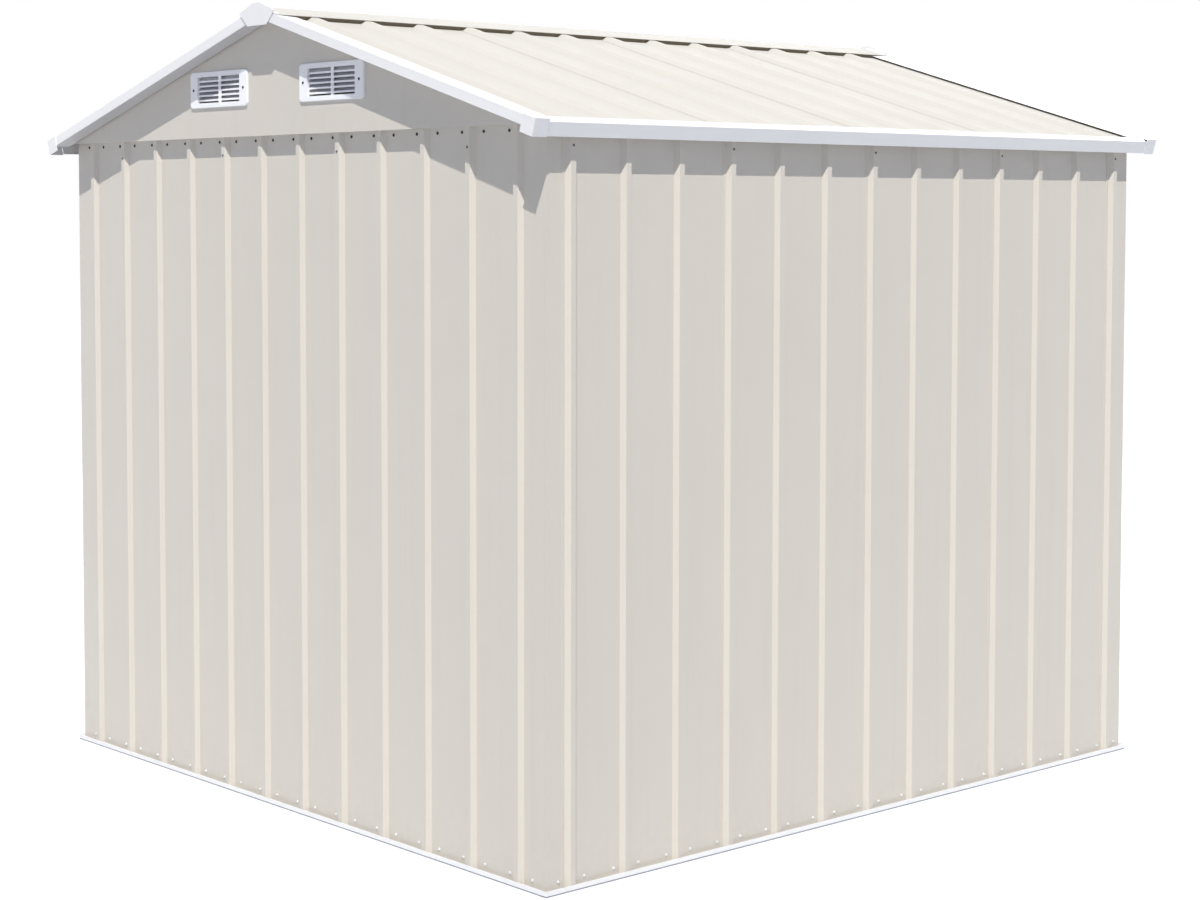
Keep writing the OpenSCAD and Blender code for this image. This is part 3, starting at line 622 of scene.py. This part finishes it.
def down_slope(side, y, d, up):
    """A point of a roof slope: d from the ridge, and up square to the slope."""
    return Vector((side * (d * math.cos(PITCH_ANGLE) + up * math.sin(PITCH_ANGLE)), y,
                   apex_z - d * math.sin(PITCH_ANGLE) + up * math.cos(PITCH_ANGLE)))


def foam_row(bm, side, d0, d1, height):
    """One row of blocks across a slope, between distances d0 and d1 from the ridge."""
    ribs = [FIRST_RIB + i * ROOF_PITCH for i in range(ROOF_RIBS)]
    starts = [VERGE_EDGE] + [r + RIB_BASE / 2 for r in ribs]
    ends = [r - RIB_BASE / 2 for r in ribs] + [2 * verge_y - VERGE_EDGE]
    lean = (RIB_BASE - RIB_CREST) / 2
    for start, end in zip(starts, ends):
        for v in bmesh.ops.create_cube(bm, size=1.0)["verts"]:
            wider = lean if v.co.z > 0 else 0.0
            along = start - wider if v.co.x < 0 else end + wider
            v.co = down_slope(side, verge_y - along, d1 if v.co.y > 0 else d0,
                              height if v.co.z > 0 else 0.0)


print("apex of the roof flats at %.4f, verge at %.4f" % (apex_z, verge_y))

# %% [markdown]
# The foam is soft and dull. Small cells show on its cut face, so a fine Voronoi pattern darkens the
# pores and dents them.

# %% Foam fillers
foam, tree, shader = finish("dark_foam")
cells = add(tree, "ShaderNodeTexVoronoi", {"Vector": object_place(tree), "Scale": 900.0})
pores = cells.outputs[0]
tree.links.new(blend_colours(tree, pores, (0.170, 0.140, 0.100, 1), (0.230, 0.190, 0.135, 1)),
               shader.inputs["Base Color"])
tree.links.new(spread(tree, pores, 0.75, 0.95), shader.inputs["Roughness"])
dents = add(tree, "ShaderNodeBump", {"Height": pores, "Distance": 0.0003})
tree.links.new(dents.outputs[0], shader.inputs["Normal"])

RIDGE_ROW, RIDGE_FOAM_H, EAVE_FOAM_H = (0.066, 0.076), RIB_H + 0.0010, RIB_H + 0.0008
EAVE_FLANGE, EAVE_LAP, EAVE_CORNER, PLAY = 0.016, 0.003, 0.0044, 0.0003
eave_d = (reach_of("eave_trims", 0) - EAVE_CORNER * math.sin(PITCH_ANGLE)) / math.cos(PITCH_ANGLE)
eave_row = (eave_d - EAVE_FLANGE + PLAY, eave_d - EAVE_FLANGE + EAVE_LAP - PLAY)
bm = bmesh.new()
for side in (-1, 1):
    foam_row(bm, side, *RIDGE_ROW, RIDGE_FOAM_H)
    foam_row(bm, side, *eave_row, EAVE_FOAM_H)
bmesh.ops.recalc_face_normals(bm, faces=bm.faces[:])
as_piece("roof_fillers", bm, foam)

# %% [markdown]
# ## Soffit flanges under the verges
# A grey strip under the verge trim closes the overhang from below, up to a narrow dark joint in
# front of the gable panel. It is the same coated sheet, and its grey is painted shade for the shade
# under the overhang. The strip is cut near its inner edge and the part beyond the cut is raised,
# which gives the hem that stiffens it. Four copies are then laid along the slopes, against the foot
# of the trims.

# %% Verge soffits
SOFFIT_EDGE, SOFFIT_REACH, SOFFIT_T, HEM_W, HEM_H = 0.0015, 0.0450, 0.0010, 0.0010, 0.0060


def slope_places(name):
    """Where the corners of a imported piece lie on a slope: down from the ridge, and up off it."""
    turn = Matrix.Rotation(PITCH_ANGLE, 2)
    return [turn @ Vector((abs(v.co.x), v.co.z - apex_z)) for v in nodes[name].data.vertices]


def soffit_strip(length):
    bm = bmesh.new()
    middle = Vector(((SOFFIT_EDGE + SOFFIT_REACH) / 2, length / 2, SOFFIT_T / 2))
    size = Matrix.Diagonal((SOFFIT_REACH - SOFFIT_EDGE, length, SOFFIT_T, 1))
    bmesh.ops.create_cube(bm, size=1.0, matrix=Matrix.Translation(middle) @ size)
    bmesh.ops.bisect_plane(bm, geom=bm.verts[:] + bm.edges[:] + bm.faces[:], plane_no=(1, 0, 0),
                           plane_co=(SOFFIT_REACH - HEM_W, 0, 0))
    edge = max((f for f in bm.faces if f.normal.z > 0.5), key=lambda f: f.calc_center_median().x)
    raise_face(bm, edge, HEM_H)
    return as_mesh("soffit_strip", bm)


verge_places = slope_places("verge_trims")
soffit_foot = min(p.y for p in verge_places) - SOFFIT_T
strip_start = -soffit_foot * math.tan(PITCH_ANGLE)
strip = soffit_strip(max(p.x for p in verge_places) - strip_start)
bm = bmesh.new()
for side, gable in ((-1, -1), (-1, 1), (1, -1), (1, 1)):
    for v in copy_in(bm, strip):
        across, along, up = v.co
        v.co = down_slope(side, gable * (verge_y - across), strip_start + along, soffit_foot + up)
bmesh.ops.recalc_face_normals(bm, faces=bm.faces[:])
# Painted shade: a darker grey for the shade under the verge overhang.
soffit_painted_shade = painted_steel("soffit_painted_shade", (0.530, 0.525, 0.530), 0.50, 0.0008,
                          {"Splash": 0.0, "Streaks": 0.03})
as_piece("verge_soffits", bm, soffit_painted_shade)
print("soffits lie %.4f below the flats of the roof" % -soffit_foot)

# %% [markdown]
# ## Floor
# The shed stands on a plain pale floor. Most of its white comes from the light on it, so the shadow of
# the shed still shows. A little glow, which only the camera and gloss see, lifts the rest to white
# without adding light to the walls.

# %% Floor
def seen_directly(tree):
    """One for rays of the camera, of gloss and of glass, and none for the rest."""
    path = add(tree, "ShaderNodeLightPath").outputs
    gloss = arithmetic(tree, "MAXIMUM", path["Is Glossy Ray"], path["Is Transmission Ray"])
    return arithmetic(tree, "MAXIMUM", path["Is Camera Ray"], gloss)


FLOOR_HALF, FLOOR_DROP, FLOOR_LIFT = 40.0, 0.0005, 0.30
bm = bmesh.new()
bmesh.ops.create_grid(bm, x_segments=1, y_segments=1, size=FLOOR_HALF,
                      matrix=Matrix.Translation((0, 0, -FLOOR_DROP)))
floor_mesh = as_mesh("floor", bm)
floor = bpy.data.objects.new("floor", floor_mesh)
bpy.context.scene.collection.objects.link(floor)

pale_floor = bpy.data.materials.new("pale_floor")
pale_floor.use_nodes = True
tree = pale_floor.node_tree
tree.nodes.clear()
matt = add(tree, "ShaderNodeBsdfDiffuse", {"Color": (0.58, 0.59, 0.62, 1)})
lift = arithmetic(tree, "MULTIPLY", seen_directly(tree), FLOOR_LIFT)
white = add(tree, "ShaderNodeEmission", {"Color": (1, 1, 1, 1), "Strength": lift})
both = add(tree, "ShaderNodeAddShader", {0: matt.outputs[0], 1: white.outputs[0]})
add(tree, "ShaderNodeOutputMaterial", {"Surface": both.outputs[0]})
floor_mesh.materials.append(pale_floor)
print("floor half width:", FLOOR_HALF)

# %% [markdown]
# ## Sky
# The sky works in the same way: the camera and gloss see plain white, while the shed is lit by a soft
# blue at a low level, which tints the shade under the roof.

# %% Sky
SKY_LEVEL = 0.26
sky = bpy.data.worlds.new("pale_sky")
sky.use_nodes = True
tree = sky.node_tree
tree.nodes.clear()
daylight = add(tree, "ShaderNodeBackground", {"Color": (0.80, 0.96, 1.32, 1), "Strength": SKY_LEVEL})
white = add(tree, "ShaderNodeBackground", {"Color": (1, 1, 1, 1), "Strength": 1.0})
mixed = add(tree, "ShaderNodeMixShader", {0: seen_directly(tree), 1: daylight.outputs[0],
                                          2: white.outputs[0]})
add(tree, "ShaderNodeOutputWorld", {"Surface": mixed.outputs[0]})
bpy.context.scene.world = sky
print("sky level:", SKY_LEVEL)
